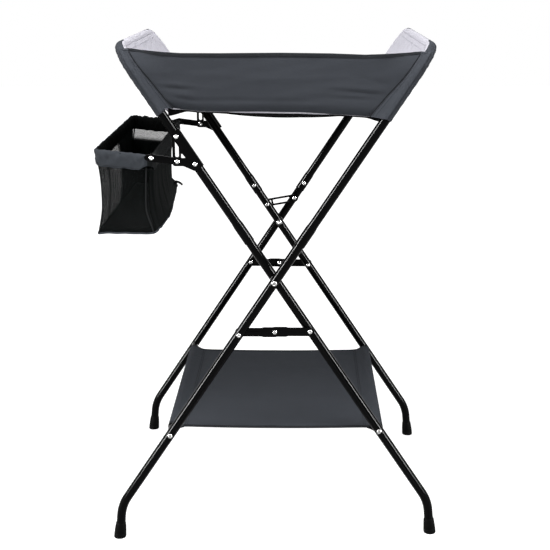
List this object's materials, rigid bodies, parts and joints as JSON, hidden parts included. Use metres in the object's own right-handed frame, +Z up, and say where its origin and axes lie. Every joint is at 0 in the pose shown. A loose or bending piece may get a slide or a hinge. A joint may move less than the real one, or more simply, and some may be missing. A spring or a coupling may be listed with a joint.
{
  "type": "folding changing table",
  "caption": "Folding changing table: two crossed tubular steel frames, padded fabric tub on top, mesh side basket and fabric shelf.",
  "frame": {"origin": "on the floor at the middle of the footprint", "axes": "+Z up; +X from the basket's side to the other side; +Y from the front, where the user stands, to the back"},
  "size_m": [0.6966, 0.626, 1.0274],
  "materials": {
    "frame_paint": "gloss black",
    "bright_steel": "zinc plated",
    "foot_rubber": "matt black",
    "spacer_nylon": "black nylon",
    "grey_fabric": "dark grey woven polyester",
    "pad_lining": "pale grey wipe-clean lining",
    "basket_mesh": "black mesh with a grey band",
    "board_plastic": "matt black"
  },
  "bodies": {
    "outer_frame": {"outer_leg_front": "frame_paint", "outer_leg_rear": "frame_paint", "outer_hoop": "frame_paint", "outer_hoop_screw_front": "bright_steel", "outer_hoop_screw_rear": "bright_steel", "outer_foot_front": "foot_rubber", "outer_foot_rear": "foot_rubber", "shelf_bar_left": "frame_paint", "shelf_screw_outer_front": "bright_steel", "shelf_screw_outer_rear": "bright_steel", "pivot_bolt_front": "bright_steel", "pivot_bolt_rear": "bright_steel", "pivot_spacer_front": "spacer_nylon", "pivot_spacer_rear": "spacer_nylon", "stretcher_rivet_left_front": "bright_steel", "stretcher_rivet_left_rear": "bright_steel", "lock_pivot_rivet": "bright_steel", "tub_end_right": "grey_fabric", "tub_wall_front": "grey_fabric", "tub_wall_rear": "grey_fabric", "tub_floor": "grey_fabric", "tub_pad": "pad_lining", "shelf_sheet": "grey_fabric"},
    "left_links": {"stretcher_link_left_front": "frame_paint", "stretcher_link_left_rear": "frame_paint", "stretcher_pin_front": "bright_steel", "stretcher_pin_rear": "bright_steel"},
    "right_links": {"stretcher_link_right_front": "frame_paint", "stretcher_link_right_rear": "frame_paint"},
    "lock": {"lock_hook": "frame_paint"},
    "inner_frame": {"inner_leg_front": "frame_paint", "inner_leg_rear": "frame_paint", "inner_hoop": "frame_paint", "inner_hoop_screw_front": "bright_steel", "inner_hoop_screw_rear": "bright_steel", "inner_foot_front": "foot_rubber", "inner_foot_rear": "foot_rubber", "shelf_bar_right": "frame_paint", "shelf_screw_inner_front": "bright_steel", "shelf_screw_inner_rear": "bright_steel", "stretcher_rivet_right_front": "bright_steel", "stretcher_rivet_right_rear": "bright_steel", "lock_stud": "bright_steel", "basket_hanger_front": "frame_paint", "basket_hanger_rear": "frame_paint", "basket_arm_front": "frame_paint", "basket_arm_rear": "frame_paint", "hanger_rivet_low_front": "bright_steel", "hanger_rivet_low_rear": "bright_steel", "hanger_rivet_high_front": "bright_steel", "hanger_rivet_high_rear": "bright_steel", "arm_rivet_front": "bright_steel", "arm_rivet_rear": "bright_steel", "basket_pin_front": "bright_steel", "basket_pin_rear": "bright_steel", "tub_end_left": "grey_fabric"},
    "basket": {"basket_rim": "frame_paint", "basket_bag": "basket_mesh", "basket_board": "board_plastic"}
  },
  "joints": [
    {"name": "fold", "type": "hinge", "parent": "outer_frame", "child": "inner_frame", "pos_m": [0.00711, 0, 0.559], "axis": [0, 1, 0], "range_deg": [0, 60], "deforming": ["tub_wall_front", "tub_wall_rear", "tub_floor", "tub_pad", "shelf_sheet"]},
    {"name": "stretcher_left", "type": "hinge", "parent": "outer_frame", "child": "left_links", "pos_m": [-0.06464, 0, 0.4506], "axis": [0, 1, 0], "range_deg": [-54, 0]},
    {"name": "stretcher_right", "type": "hinge", "parent": "inner_frame", "child": "right_links", "pos_m": [0.07886, 0, 0.4506], "axis": [0, 1, 0], "range_deg": [0, 54]},
    {"name": "lock_lift", "type": "hinge", "parent": "outer_frame", "child": "lock", "pos_m": [0.04409, 0.285, 0.61487], "axis": [0, 1, 0], "range_deg": [0, 134]},
    {"name": "basket_tilt", "type": "hinge", "parent": "inner_frame", "child": "basket", "pos_m": [-0.23389, 0, 0.805], "axis": [0, 1, 0], "range_deg": [0, 60]}
  ],
  "couplings": [
    {"joint": "stretcher_left", "follows": "fold", "ratio": -0.89416},
    {"joint": "stretcher_right", "follows": "fold", "ratio": 0.89416},
    {"joint": "lock_lift", "follows": "fold", "ratio": 2.225}
  ]
}
